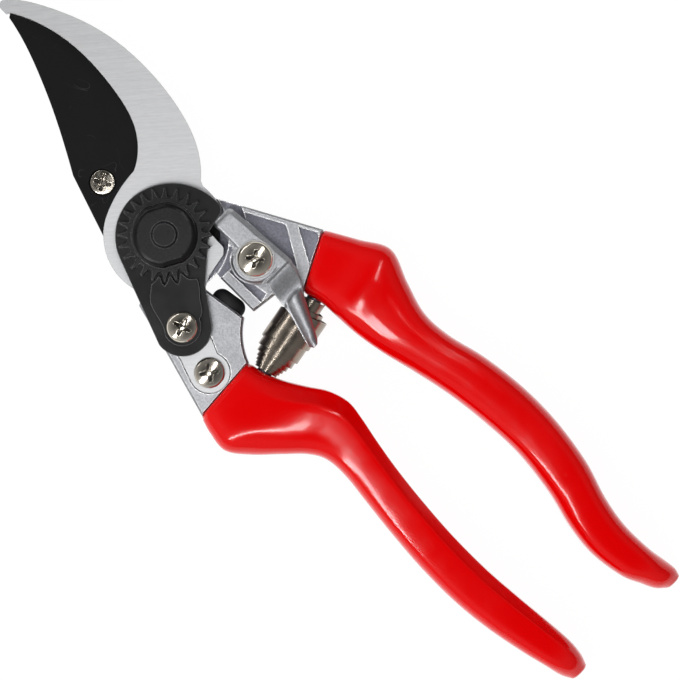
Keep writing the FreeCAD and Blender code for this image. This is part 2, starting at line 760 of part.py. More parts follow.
def blade_screw():
    """A flat-headed screw whose head fills the blade's countersink."""
    body = new_body("blade_screw")
    flush = "lug_thickness + blade_thickness"
    turned(body, [("0", "0"), ("screw_radius", "0"), ("screw_radius", flush + " - blade_head_depth"),
                  ("blade_head_radius", flush), ("0", flush)])
    cross_recess(body, flush)
    for axis, text in zip("xyz", ("blade_screw_x", "blade_screw_y", LUG)):
        bind(body, f"Placement.Base.{axis}", text)
    return body


# ---- latch ------------------------------------------------------------------
def latch_lever():
    """The thumb latch: block, boss about its screw, and a tapering thumb tab."""
    body = new_body("latch_lever")
    x, y = value("latch_x"), value("latch_y")
    boss = 6.2
    foot, neck = polar(boss, 254, x, y), polar(boss, 113, x, y)
    corner = Vector(17.3, -25.8, 0)
    tab = [corner, Vector(15.2, -31.6, 0), Vector(11.6, -37.8, 0), Vector(8.3, -43.8, 0)]
    back = [Vector(5.4, -43.4, 0), Vector(7.2, -37.2, 0), Vector(8.9, -30.6, 0), foot]
    pad(body, LATCH, "latch_thickness", [
        *chain([neck, Vector(10.4, -13.4, 0), Vector(9.8, -6.6, 0), Vector(15.2, -6.2, 0),
                corner]),
        curve(tab),
        arc(tab[-1], Vector(6.5, -44.7, 0), back[0]),
        curve(back),
        arc(foot, polar(boss, 185, x, y), neck),
    ])
    bore(body, LATCH + " + latch_thickness", "latch_thickness",
         "latch_shoulder_radius + running_clearance", "latch_x", "latch_y")
    return body


def latch_screw():
    """A shouldered screw: the lever turns on the shoulder."""
    body = new_body("latch_screw")
    rise = "latch_thickness + latch_washer_thickness"
    top = rise + " + latch_head_height"
    turned(body, [("0", "-well_depth"), ("screw_radius", "-well_depth"), ("screw_radius", "0"),
                  ("latch_shoulder_radius", "0"), ("latch_shoulder_radius", rise),
                  ("latch_head_radius", rise), ("latch_head_radius", top), ("0", top)])
    ease(body, value(top), 0.62 * value("latch_head_height"), kind="Fillet")
    cross_recess(body, top)
    for axis, text in zip("xyz", ("latch_x", "latch_y", LATCH)):
        bind(body, f"Placement.Base.{axis}", text)
    return body


def latch_washer():
    """The thin washer under the latch screw's head."""
    body = new_body("latch_washer")
    top = LATCH + " + latch_thickness + latch_washer_thickness"
    round_pad(body, LATCH + " + latch_thickness", "latch_washer_thickness",
              "latch_head_radius + 0.5", "latch_x", "latch_y")
    bore(body, top, "latch_washer_thickness", "latch_shoulder_radius + running_clearance",
         "latch_x", "latch_y")
    return body


# ---- cushion and spring -----------------------------------------------------
CUSHION_SEAT = Vector(-1.4, -22.4, MIDDLE)
CUSHION_WAY = Vector(10.1, 1.6, 0).normalize()


def rubber_cushion():
    """The stop cushion: a low dome with a stem pressed into the casting."""
    body = new_body("rubber_cushion")
    turned(body, [("0", "-cushion_stem_length"), ("cushion_stem_radius", "-cushion_stem_length"),
                  ("cushion_stem_radius", "0"), ("cushion_radius", "0"),
                  ("cushion_radius", "cushion_height"), ("0", "cushion_height")])
    ease(body, value("cushion_height"), 0.8 * value("cushion_height"), kind="Fillet")
    body.Placement = Placement(CUSHION_SEAT, Rotation(Vector(0, 0, 1), CUSHION_WAY))
    return body


def return_spring():
    """The volute spring's outer form: turns that widen to the middle and narrow again."""
    small, wide = value("spring_end_radius"), value("spring_middle_radius")
    long, strip = SPRING_LENGTH, value("spring_strip")
    steps = ((0.0, 0.0), (0.06, 0.12), (0.12, 0.28), (0.18, 0.5), (0.25, 0.8), (0.32, 1.0),
             (0.64, 0.6), (0.72, 0.3), (0.8, 0.1), (1.0, 0.1))
    outside = []
    for (start, share), (end, _) in zip(steps, steps[1:]):
        radius = small + share * (wide - small)
        outside += [Vector(radius, 0, start * long), Vector(radius, 0, end * long)]
    inside = [point - Vector(strip, 0, 0) for point in reversed(outside)]
    section = Part.Face(Part.makePolygon([*outside, *inside, outside[0]]))
    coil = section.revolve(Vector(0, 0, 0), Vector(0, 0, 1), 360)
    spring = feature("return_spring", coil)
    spring.Placement = Placement(SPRING_LEFT, Rotation(Vector(0, 0, 1), SPRING_WAY))
    return spring


# ---- assembly ---------------------------------------------------------------
lower_stock = lower_casting()
stem_hole = tube("stem_hole", "cushion_stem_radius", "cushion_stem_length",
                 CUSHION_SEAT, -CUSHION_WAY)
shoulder = tube("shoulder_face", "cushion_radius + tail_clearance", "cushion_height",
                CUSHION_SEAT, CUSHION_WAY)
bored = combine("Cut", "lower_bored", lower_stock, stem_hole)
faced = combine("Cut", "lower_faced", bored, shoulder)

small_head = ("small_head_radius", "small_head_height")
nodes = [
    *handle_and_grip("upper", upper_casting(), UPPER_GRIP, SPRING_RIGHT, SPRING_WAY),
    *handle_and_grip("lower", faced, LOWER_GRIP, SPRING_LEFT, -SPRING_WAY),
    cutting_blade(),
    counter_blade(),
    pivot_bolt(),
    pivot_washer(),
    pivot_nut(),
    side_plate(),
    toothed_segment(),
    pan_screw("segment_screw", ("segment_screw_x", "segment_screw_y"), NUT + " + flange_height",
              small_head, ("screw_radius", "flange_height + plate_thickness + claw_thickness + 4")),
    pan_screw("tail_screw", ("tail_screw_x", "tail_screw_y"), PLATE,
              small_head, ("screw_radius", "claw_thickness + 4")),
    blade_screw(),
    latch_lever(),
    latch_screw(),
    latch_washer(),
    rubber_cushion(),
    return_spring(),
]
doc.recompute()

for thing in doc.Objects:
    if {"Invalid", "Error"} & set(thing.State):
        raise RuntimeError(f"{thing.Label} did not rebuild: {thing.State}")
for node in nodes:
    if node.Shape.isNull() or not node.Shape.isValid() or not node.Shape.Solids:
        raise RuntimeError(f"{node.Label} is not a valid solid")

os.makedirs("parts", exist_ok=True)
for node in nodes:
    node.Shape.exportStep(f"parts/{node.Label}.step")
    print(f"{node.Label}: {len(node.Shape.Solids)} solid, {node.Shape.Volume:.0f} mm3")
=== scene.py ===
import math

import bmesh
import bpy
import numpy as np
from mathutils import Matrix, Vector


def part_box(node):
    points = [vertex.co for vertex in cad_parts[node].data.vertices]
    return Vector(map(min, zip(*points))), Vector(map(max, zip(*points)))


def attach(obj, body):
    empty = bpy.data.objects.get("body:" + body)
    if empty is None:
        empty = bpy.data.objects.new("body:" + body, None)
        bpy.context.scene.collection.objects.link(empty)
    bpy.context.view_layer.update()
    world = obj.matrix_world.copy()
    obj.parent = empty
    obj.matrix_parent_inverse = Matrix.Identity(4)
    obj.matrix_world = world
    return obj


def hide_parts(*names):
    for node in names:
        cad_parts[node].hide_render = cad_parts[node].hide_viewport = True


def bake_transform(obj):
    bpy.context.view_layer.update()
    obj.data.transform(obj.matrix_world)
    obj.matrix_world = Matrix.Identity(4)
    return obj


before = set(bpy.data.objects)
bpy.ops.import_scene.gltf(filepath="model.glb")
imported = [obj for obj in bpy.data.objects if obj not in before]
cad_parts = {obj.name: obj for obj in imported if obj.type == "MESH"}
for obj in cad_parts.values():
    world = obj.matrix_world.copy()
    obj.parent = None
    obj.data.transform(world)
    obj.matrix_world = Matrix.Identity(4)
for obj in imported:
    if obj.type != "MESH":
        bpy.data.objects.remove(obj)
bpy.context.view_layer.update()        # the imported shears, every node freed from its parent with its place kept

MM = 0.001
PALM, FINGER, LATCH = "palm_side", "finger_side", "latch"
scene = bpy.context.scene


# ---- heights and places read from the frame, in millimetres ------------------
def low(node):
    """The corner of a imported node's box with the least x, y and z."""
    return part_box(node)[0] / MM


def high(node):
    """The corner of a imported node's box with the greatest x, y and z."""
    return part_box(node)[1] / MM


def middle(node):
    """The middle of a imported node's box."""
    return (low(node) + high(node)) / 2


GRIP_MIDDLE = middle("upper_grip").z
CASTING_TOP = high("counter_blade").z       # the castings' flat faces are level with the claw's
FLANGE_TOP = high("toothed_segment").z


# ---- shader building ---------------------------------------------------------
def add(tree, kind, inputs=None, **settings):
    """A node with its settings, its input values and its incoming links."""
    node = tree.nodes.new(kind)
    for name, setting in settings.items():
        setattr(node, name, setting)
    for name, source in (inputs or {}).items():
        socket = node.inputs[name]
        if isinstance(source, bpy.types.NodeSocket):
            tree.links.new(source, socket)
        else:
            socket.default_value = source
    return node


def maths(tree, operation, first, second=0.5, clamp=False):
    """One sum of two numbers or sockets; clamp keeps its result from 0 to 1."""
    node = add(tree, "ShaderNodeMath", {0: first, 1: second}, operation=operation)
    node.use_clamp = clamp
    return node.outputs[0]


# A Mix node's sockets when it mixes colours: factor, two colours and the result.
MIX_FACTOR, MIX_FIRST, MIX_SECOND, MIX_RESULT = 0, 6, 7, 2


def blend_colours(tree, factor, first, second, way="MIX"):
    """Two colours mixed by a factor; each of the three is a socket or plain values."""
    node = add(tree, "ShaderNodeMix", data_type="RGBA", blend_type=way)
    for index, source in ((MIX_FACTOR, factor), (MIX_FIRST, first), (MIX_SECOND, second)):
        socket = node.inputs[index]
        if isinstance(source, bpy.types.NodeSocket):
            tree.links.new(source, socket)
        else:
            socket.default_value = source if index == MIX_FACTOR else (*source, 1.0)
    return node.outputs[MIX_RESULT]


def lay_over(tree, tone, mask, share, colour):
    """A colour laid over a tone by a share of a mask."""
    return blend_colours(tree, maths(tree, "MULTIPLY", mask, share), tone, colour)


NOISE_RANGE = (0.3, 0.7)        # where most of a noise's values lie


def spread(tree, source, low_in, high_in, low_out=0.0, high_out=1.0):
    """The source stretched from one range to another, and kept inside it."""
    node = add(tree, "ShaderNodeMapRange", {
        "Value": source, "From Min": low_in, "From Max": high_in,
        "To Min": low_out, "To Max": high_out})
    return node.outputs["Result"]


def new_group(name, inputs, outputs):
    """An empty node group of numbers: inputs with their defaults, and outputs by name."""
    group = bpy.data.node_groups.new(name, "ShaderNodeTree")
    number = "NodeSocketFloat"
    for label, default in inputs.items():
        socket = group.interface.new_socket(name=label, in_out="INPUT", socket_type=number)
        socket.default_value = default
    for label in outputs:
        group.interface.new_socket(name=label, in_out="OUTPUT", socket_type=number)
    return group, group.nodes.new("NodeGroupInput").outputs, group.nodes.new("NodeGroupOutput").inputs


def millimetres(tree):
    """The surface's own coordinates in millimetres."""
    place = add(tree, "ShaderNodeTexCoord").outputs["Object"]
    scaled = add(tree, "ShaderNodeVectorMath", {0: place, "Scale": 1 / MM}, operation="SCALE")
    return scaled.outputs[0]


def edge_group():
    """Where a surface turns sharply: 1 on edges and rims, 0 on flats. The materials use it for painted
    highlights on edges and for painted shade on the claw's rim.
    """
    group, given, result = new_group("edge_shine", {"Width": 0.3, "Strength": 6.0}, ["Mask"])
    width = maths(group, "MULTIPLY", given["Width"], MM)
    rounded = add(group, "ShaderNodeBevel", {"Radius": width}, samples=6)
    flat = add(group, "ShaderNodeNewGeometry").outputs["Normal"]
    alike = add(group, "ShaderNodeVectorMath", {0: rounded.outputs[0], 1: flat},
                operation="DOT_PRODUCT").outputs["Value"]
    turned = maths(group, "SUBTRACT", 1.0, alike)
    group.links.new(maths(group, "MULTIPLY", turned, given["Strength"], True), result["Mask"])
    return group


def grain_group():
    """Cast or sprayed grain: a height for the bump and a slow patchy tone."""
    group, given, result = new_group("grain", {"Size": 0.3, "Patch": 6.0}, ["Height", "Tone"])
    noise_share, pit_share, pit_scale = 0.65, 0.45, 0.6
    place = millimetres(group)
    fine_scale = maths(group, "DIVIDE", 1.0, given["Size"])
    fine = add(group, "ShaderNodeTexNoise", {
        "Vector": place, "Scale": fine_scale, "Detail": 4.0, "Roughness": 0.65})
    pits = add(group, "ShaderNodeTexVoronoi", {
        "Vector": place, "Scale": maths(group, "MULTIPLY", fine_scale, pit_scale)})
    height = maths(group, "ADD", maths(group, "MULTIPLY", fine.outputs["Fac"], noise_share),
                   maths(group, "MULTIPLY", pits.outputs["Distance"], pit_share))
    patch = add(group, "ShaderNodeTexNoise", {
        "Vector": place, "Scale": maths(group, "DIVIDE", 1.0, given["Patch"]), "Detail": 3.0})
    group.links.new(height, result["Height"])
    group.links.new(patch.outputs["Fac"], result["Tone"])
    return group


def brush_group():
    """Fine grinding lines that run one way across a face."""
    group, given, result = new_group("grinding_lines", {"Angle": 0.6, "Fineness": 5.0},
                                     ["Lines", "Height"])
    drawn_out = (0.06, 1.0, 0.3)        # long along the lines, narrow across them
    fine_share, coarse_share, coarse_scale = 0.6, 0.4, 0.22
    turn = add(group, "ShaderNodeVectorRotate", {
        "Vector": millimetres(group), "Angle": given["Angle"]}, rotation_type="Z_AXIS")
    stretched = add(group, "ShaderNodeVectorMath", {
        0: turn.outputs[0], 1: drawn_out}, operation="MULTIPLY")
    fine = add(group, "ShaderNodeTexNoise", {
        "Vector": stretched.outputs[0], "Scale": given["Fineness"], "Detail": 3.0,
        "Roughness": 0.7})
    coarse = add(group, "ShaderNodeTexNoise", {
        "Vector": stretched.outputs[0],
        "Scale": maths(group, "MULTIPLY", given["Fineness"], coarse_scale), "Detail": 2.0})
    lines = maths(group, "ADD", maths(group, "MULTIPLY", fine.outputs["Fac"], fine_share),
                  maths(group, "MULTIPLY", coarse.outputs["Fac"], coarse_share))
    group.links.new(spread(group, lines, *NOISE_RANGE), result["Lines"])
    group.links.new(fine.outputs["Fac"], result["Height"])
    return group


def scuff_group():
    """Sparse hairline scratches and wiped smudges from handling."""
    group, given, result = new_group("scuffs", {"Spacing": 9.0, "Width": 0.006},
                                     ["Scratch", "Smudge"])
    noise_middle, patch_scale, smear_scale, unmarked = 0.5, 2.3, 0.9, 0.58
    place = millimetres(group)
    scale = maths(group, "DIVIDE", 1.0, given["Spacing"])
    swirl = add(group, "ShaderNodeTexNoise", {
        "Vector": place, "Scale": scale, "Detail": 1.0, "Distortion": 1.5})
    off = maths(group, "ABSOLUTE", maths(group, "SUBTRACT", swirl.outputs["Fac"], noise_middle))
    hair = maths(group, "LESS_THAN", off, given["Width"])
    patch = add(group, "ShaderNodeTexNoise", {
        "Vector": place, "Scale": maths(group, "MULTIPLY", scale, patch_scale), "Detail": 2.0})
    sparse = maths(group, "GREATER_THAN", patch.outputs["Fac"], unmarked)
    smear = add(group, "ShaderNodeTexNoise", {
        "Vector": place, "Scale": maths(group, "MULTIPLY", scale, smear_scale), "Detail": 5.0,
        "Roughness": 0.6})
    group.links.new(maths(group, "MULTIPLY", hair, sparse), result["Scratch"])
    group.links.new(smear.outputs["Fac"], result["Smudge"])
    return group


EDGES, GRAIN, BRUSH, SCUFFS = edge_group(), grain_group(), brush_group(), scuff_group()


def place_group(tree, group, inputs):
    """A group placed in a material with its own values; returns its outputs."""
    node = tree.nodes.new("ShaderNodeGroup")
    node.node_tree = group
    for name, number in inputs.items():
        node.inputs[name].default_value = number
    return node.outputs


def new_material(name, sockets):
    """A material with one Principled shader; returns it, its tree and the shader."""
    material = bpy.data.materials.new(name)
    material.use_nodes = True
    tree = material.node_tree
    tree.nodes.clear()
    shader = add(tree, "ShaderNodeBsdfPrincipled", sockets)
    out = add(tree, "ShaderNodeOutputMaterial")
    tree.links.new(shader.outputs[0], out.inputs["Surface"])
    return material, tree, shader


def paint(tree, shader, tone, rough):
    """The shader's colour and roughness, both taken from sockets."""
    tree.links.new(tone, shader.inputs["Base Color"])
    tree.links.new(rough, shader.inputs["Roughness"])


def raise_surface(tree, shader, height, strength, distance):
    """A bump from a height; distance is in millimetres."""
    bump = add(tree, "ShaderNodeBump", {
        "Height": height, "Strength": strength, "Distance": distance * MM})
    tree.links.new(bump.outputs[0], shader.inputs["Normal"])


def cast_alloy():
    """Die cast alloy: blasted grain, painted shade on the sunk floors and painted highlights on the rims.
    """
    material, tree, shader = new_material("cast_alloy", {"Metallic": 1.0})
    grain = place_group(tree, GRAIN, {"Size": 0.32, "Patch": 5.0})
    edges = place_group(tree, EDGES, {"Width": 0.45, "Strength": 5.0})
    scuffs = place_group(tree, SCUFFS, {"Spacing": 7.0, "Width": 0.004})
    floor_depth, rim_depth, rim_polish = 0.9, 0.4, 0.16
    # painted shade: the pocket floors are darkened by their depth below the casting's top face
    height = add(tree, "ShaderNodeSeparateXYZ", {0: millimetres(tree)}).outputs["Z"]
    painted_pocket_shade = spread(tree, height, CASTING_TOP - floor_depth, CASTING_TOP - rim_depth, 1.0, 0.0)
    tone = blend_colours(tree, grain["Tone"], (0.34, 0.345, 0.365), (0.44, 0.445, 0.46))
    tone = blend_colours(tree, painted_pocket_shade, tone, (0.20, 0.20, 0.235))
    speck = spread(tree, grain["Height"], *NOISE_RANGE, 0.78, 1.16)
    specks = add(tree, "ShaderNodeCombineXYZ", {0: speck, 1: speck, 2: speck}).outputs[0]
    tone = blend_colours(tree, 1.0, tone, specks, "MULTIPLY")
    # painted highlight: the rims are lightened to near white through the edge mask
    tone = blend_colours(tree, edges["Mask"], tone, (0.86, 0.86, 0.86))
    rough = spread(tree, scuffs["Smudge"], *NOISE_RANGE, 0.40, 0.50)
    rough = maths(tree, "SUBTRACT", rough, maths(tree, "MULTIPLY", edges["Mask"], rim_polish))
    paint(tree, shader, tone, rough)
    raise_surface(tree, shader, grain["Height"], strength=0.5, distance=0.07)
    return material


def red_vinyl():
    """Dipped vinyl: deep red, glossy, with faint ripples left by the dip."""
    material, tree, shader = new_material("red_vinyl", {
        "IOR": 1.45, "Specular IOR Level": 0.28, "Coat Weight": 0.16, "Coat Roughness": 0.03})
    grain = place_group(tree, GRAIN, {"Size": 1.4, "Patch": 14.0})
    scuffs = place_group(tree, SCUFFS, {"Spacing": 16.0, "Width": 0.002})
    tone = blend_colours(tree, grain["Tone"], (0.88, 0.0003, 0.0008), (0.95, 0.0004, 0.0012))
    tone = lay_over(tree, tone, scuffs["Scratch"], 0.04, (0.9, 0.2, 0.2))
    paint(tree, shader, tone, spread(tree, scuffs["Smudge"], *NOISE_RANGE, 0.10, 0.17))
    ripple = add(tree, "ShaderNodeTexNoise", {
        "Vector": millimetres(tree), "Scale": 0.16, "Detail": 1.0})
    raise_surface(tree, shader, ripple.outputs["Fac"], strength=0.2, distance=0.2)
    return material


def blade_coating():
    """Satin black non-stick coating on the cutting blade, with a painted highlight on its rubbed edges."""
    material, tree, shader = new_material("blade_coating", {"Specular IOR Level": 0.12})
    grain = place_group(tree, GRAIN, {"Size": 0.22, "Patch": 9.0})
    edges = place_group(tree, EDGES, {"Width": 0.25, "Strength": 4.0})
    scuffs = place_group(tree, SCUFFS, {"Spacing": 11.0, "Width": 0.0025})
    tone = blend_colours(tree, grain["Tone"], (0.0040, 0.0040, 0.0046), (0.0060, 0.0060, 0.0070))
    tone = lay_over(tree, tone, scuffs["Scratch"], 0.10, (0.25, 0.25, 0.26))
    # painted highlight on the rubbed edges, lightened through the edge mask
    tone = lay_over(tree, tone, edges["Mask"], 0.35, (0.12, 0.12, 0.125))
    paint(tree, shader, tone, spread(tree, scuffs["Smudge"], *NOISE_RANGE, 0.36, 0.50))
    raise_surface(tree, shader, grain["Height"], strength=0.12, distance=0.03)
    return material


def bright_steel():
    """Ground steel of the claw: slanting grinding lines and painted shade on its rounded rim."""
    material, tree, shader = new_material("bright_steel", {"Metallic": 1.0})
    brush = place_group(tree, BRUSH, {"Angle": 0.72, "Fineness": 7.5})
    grain = place_group(tree, GRAIN, {"Size": 0.35, "Patch": 8.0})
    edges = place_group(tree, EDGES, {"Width": 0.3, "Strength": 5.0})
    tone = blend_colours(tree, brush["Lines"], (0.43, 0.435, 0.445), (0.62, 0.625, 0.63))
    tone = lay_over(tree, tone, grain["Tone"], 0.35, (0.52, 0.52, 0.53))
    # painted shade: the rounded rim is darkened through the edge mask
    tone = lay_over(tree, tone, edges["Mask"], 0.6, (0.30, 0.30, 0.31))
    paint(tree, shader, tone, spread(tree, brush["Lines"], 0.0, 1.0, 0.36, 0.50))
    raise_surface(tree, shader, brush["Height"], strength=0.12, distance=0.04)
    return material


def black_oxide(name, base, rough):
    """Oiled black oxide on the plate, nut and segment, with painted highlights on its edges."""
    material, tree, shader = new_material(name, {"Specular IOR Level": 0.22})
    grain = place_group(tree, GRAIN, {"Size": 0.4, "Patch": 6.0})
    edges = place_group(tree, EDGES, {"Width": 0.32, "Strength": 9.0})
    scuffs = place_group(tree, SCUFFS, {"Spacing": 6.0, "Width": 0.003})
    dark = (base * 0.7, base * 0.7, base * 0.75)
    light = tuple(2 * part for part in dark)
    tone = blend_colours(tree, grain["Tone"], dark, light)
    # painted highlight: the edges are lightened to grey through the edge mask
    tone = blend_colours(tree, edges["Mask"], tone, (0.24, 0.24, 0.25))
    paint(tree, shader, tone,
          spread(tree, scuffs["Smudge"], *NOISE_RANGE, rough - 0.06, rough + 0.10))
    raise_surface(tree, shader, grain["Height"], strength=0.2, distance=0.04)
    return material


def plating(name, colour, rough):
    """Plating on the screws and washers: bright, with painted shade in the corners and the cross recess.
    """
    material, tree, shader = new_material(name, {"Metallic": 1.0})
    grain = place_group(tree, GRAIN, {"Size": 0.5, "Patch": 2.5})
    scuffs = place_group(tree, SCUFFS, {"Spacing": 2.5, "Width": 0.008})
    dull = tuple(part * 0.72 for part in colour)
    tone = blend_colours(tree, grain["Tone"], dull, colour)
    # painted shade: ambient occlusion darkens the cross recess and the corners
    corners = add(tree, "ShaderNodeAmbientOcclusion", {"Distance": 1.3 * MM}, samples=6)
    painted_recess_shade = spread(tree, corners.outputs["AO"], low_in=0.35, high_in=0.95, low_out=0.9, high_out=0.0)
    tone = blend_colours(tree, painted_recess_shade, tone, (0.05, 0.045, 0.04))
    paint(tree, shader, tone,
          spread(tree, scuffs["Smudge"], *NOISE_RANGE, rough - 0.04, rough + 0.12))
    raise_surface(tree, shader, grain["Height"], strength=0.1, distance=0.03)
    return material


def spring_strip():
    """Plated spring strip: warm grey and patchy, with painted highlights on its edges."""
    material, tree, shader = new_material("spring_strip", {"Metallic": 1.0})
    grain = place_group(tree, GRAIN, {"Size": 0.5, "Patch": 3.0})
    edges = place_group(tree, EDGES, {"Width": 0.15, "Strength": 4.0})
    tone = blend_colours(tree, grain["Tone"], (0.27, 0.225, 0.18), (0.39, 0.34, 0.285))
    # painted highlight: the strip's edges are lightened through the edge mask
    tone = lay_over(tree, tone, edges["Mask"], 0.6, (0.85, 0.82, 0.76))
    paint(tree, shader, tone, spread(tree, grain["Tone"], *NOISE_RANGE, 0.18, 0.30))
    raise_surface(tree, shader, grain["Height"], strength=0.1, distance=0.02)
    return material


def black_rubber():
    """Moulded rubber: matt black with a faint patchy bloom."""
    material, tree, shader = new_material("black_rubber", {"Specular IOR Level": 0.3})
    grain = place_group(tree, GRAIN, {"Size": 0.25, "Patch": 3.0})
    tone = blend_colours(tree, grain["Tone"], (0.010, 0.010, 0.011), (0.030, 0.030, 0.032))
    paint(tree, shader, tone, spread(tree, grain["Tone"], *NOISE_RANGE, 0.55, 0.75))
    raise_surface(tree, shader, grain["Height"], strength=0.3, distance=0.05)
    return material


ALLOY, VINYL, COATING, STEEL = cast_alloy(), red_vinyl(), blade_coating(), bright_steel()
PLATE_BLACK = black_oxide("plate_black", base=0.0030, rough=0.34)
NUT_BLACK = black_oxide("nut_black", base=0.0060, rough=0.24)
NICKEL = plating("nickel_plate", colour=(0.78, 0.72, 0.62), rough=0.12)
STRIP, RUBBER = spring_strip(), black_rubber()
WASHER = plating("washer_steel", colour=(0.62, 0.62, 0.62), rough=0.3)


# ---- mesh building -----------------------------------------------------------
def new_piece(name, vertices, faces, body, material):
    """A smooth-shaded piece from millimetre vertices, riding on a body."""
    mesh = bpy.data.meshes.new(name)
    mesh.from_pydata([Vector(v) * MM for v in vertices], [], faces)
    mesh.validate()
    mesh.polygons.foreach_set("use_smooth", [True] * len(mesh.polygons))
    mesh.materials.append(material)
    piece = bpy.data.objects.new(name, mesh)
    scene.collection.objects.link(piece)
    if body:
        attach(piece, body)
    return piece


def skin_rings(rings):
    """Vertices and faces of a skin over rings of equal count, closed at both ends."""
    count = len(rings[0])
    last = (len(rings) - 1) * count
    vertices = [point for ring in rings for point in ring]
    faces = []
    for here in range(0, last, count):
        there = here + count
        for i in range(count):
            j = (i + 1) % count
            faces.append((here + i, here + j, there + j, there + i))
    faces.append(tuple(range(count - 1, -1, -1)))
    faces.append(tuple(range(last, last + count)))
    return vertices, faces


def smooth_rows(rows, steps):
    """Rows of numbers with smooth rows put between them (a Catmull-Rom curve)."""
    rows = np.array(rows, float)
    ends = np.vstack([2 * rows[0] - rows[1], rows, 2 * rows[-1] - rows[-2]])
    out = []
    for i in range(len(rows) - 1):
        a, b, c, d = ends[i:i + 4]
        for t in np.linspace(0, 1, steps, endpoint=False):
            out.append(0.5 * (2 * b + (c - a) * t + (2 * a - 5 * b + 4 * c - d) * t ** 2
                              + (3 * b - a - 3 * c + d) * t ** 3))
    out.append(rows[-1])
    return np.array(out)


# ---- grips -------------------------------------------------------------------
# Stations down each grip in millimetres: left edge x, y, right edge x, y, half
# thickness as a share of the grip's middle height, squareness of the outer and
# inner shoulders, and how far the inner side is cut to a sloping wall.
PALM_GRIP = [
    (13.8, -33.3, 28.1, -26.0, 0.72, 3.4, 3.6, 0.0), (15.1, -38.0, 32.4, -33.6, 0.84, 3.6, 3.8, 0.0),
    (15.4, -43.0, 36.3, -40.9, 0.99, 3.2, 4.0, 0.3), (15.9, -50.0, 33.4, -49.5, 0.99, 3.4, 4.2, 0.5),
    (17.2, -57.5, 31.1, -57.5, 1.0, 3.4, 4.0, 0.5), (19.3, -66.0, 31.5, -65.5, 1.0, 3.4, 3.4, 0.3),
    (21.4, -76.0, 33.9, -75.5, 1.0, 3.4, 3.4, 0.1), (22.7, -87.0, 35.3, -87.0, 1.0, 3.4, 3.4, 0.0),
    (23.1, -98.0, 35.2, -98.5, 1.0, 3.4, 3.4, 0.1), (21.7, -109.5, 33.4, -110.5, 1.0, 3.4, 3.6, 0.4),
    (19.4, -119.0, 30.5, -120.0, 1.0, 3.4, 3.6, 0.4), (18.5, -127.5, 29.1, -128.0, 0.98, 3.4, 3.4, 0.1),
    (19.7, -136.0, 29.2, -136.0, 0.93, 3.4, 3.4, 0.0), (21.7, -140.8, 29.9, -140.8, 0.83, 2.3, 2.5, 0.0),
    (23.4, -144.2, 30.3, -144.2, 0.66, 2.2, 2.3, 0.0), (25.4, -146.2, 29.8, -146.2, 0.36, 2.1, 2.1, 0.0),
]
FINGER_GRIP = [
    (-25.0, -37.1, -7.5, -35.8, 0.76, 3.6, 3.8, 0.0), (-26.3, -41.5, -6.5, -40.6, 0.86, 3.4, 4.0, 0.0),
    (-26.7, -47.0, -4.4, -45.2, 0.93, 3.2, 4.2, 0.4), (-22.9, -52.2, -1.4, -50.2, 0.98, 2.9, 4.6, 0.8),
    (-17.6, -57.3, 1.4, -54.6, 1.0, 3.4, 4.8, 1.0), (-13.1, -61.8, 2.9, -59.8, 1.0, 3.4, 5.0, 1.0),
    (-10.8, -66.0, 2.3, -65.0, 1.0, 3.4, 5.0, 1.0), (-10.4, -72.0, 1.0, -71.5, 1.0, 3.4, 5.0, 1.0),
    (-11.3, -80.0, -0.4, -80.0, 1.0, 3.4, 5.0, 1.0), (-12.4, -90.0, -1.5, -90.0, 1.0, 3.4, 5.0, 1.0),
    (-13.2, -101.0, -2.2, -101.0, 1.0, 3.4, 5.0, 1.0), (-13.2, -112.0, -2.2, -112.0, 1.0, 3.4, 5.0, 1.0),
    (-12.2, -122.0, -1.5, -122.0, 0.99, 3.4, 5.0, 1.0), (-10.4, -131.5, -0.6, -131.5, 0.95, 3.4, 4.5, 0.9),
    (-8.7, -138.5, -0.1, -138.5, 0.88, 3.4, 3.5, 0.6), (-7.7, -142.8, -0.5, -142.8, 0.72, 2.3, 2.8, 0.3),
    (-6.3, -145.6, -1.5, -145.6, 0.42, 2.1, 2.2, 0.0),
]
STATION_STEPS = 9       # rows from one station to the next
ROUND = 120             # points round a section
# The inner side's wall: its height at the edge, as a share of the half thickness,
# and how much it rises over half the section's width.
WALL_FOOT, WALL_SLOPE = 0.56, 0.96


def row_middle(row):
    """The middle of a station, between its two edges."""
    return Vector(((row[0] + row[2]) / 2, (row[1] + row[3]) / 2, 0))


def grip_ring(row, inner, inset=0.0, ahead=Vector()):
    """One section of a grip; inner is 1 where its inner side is its right one, else -1."""
    left_x, left_y, right_x, right_y, thickness, outer_power, inner_power, wall = row
    left, right = Vector((left_x, left_y, 0)), Vector((right_x, right_y, 0))
    centre, side = (left + right) / 2 + ahead, (right - left) / 2
    half = GRIP_MIDDLE * thickness - inset
    side = side.normalized() * (side.length - inset)
    ring = []
    for i in range(ROUND):
        angle = math.tau * i / ROUND
        power = inner_power if math.cos(angle) * inner > 0 else outer_power
        across = math.copysign(abs(math.cos(angle)) ** (2 / power), math.cos(angle))
        rise = abs(math.sin(angle)) ** (2 / power)
        wall_rise = min(rise, WALL_FOOT + WALL_SLOPE * (1.0 - across * inner))
        rise = wall_rise * wall + rise * (1 - wall)
        point = centre + side * across
        ring.append((point.x, point.y, GRIP_MIDDLE + half * math.copysign(rise, math.sin(angle))))
    return ring


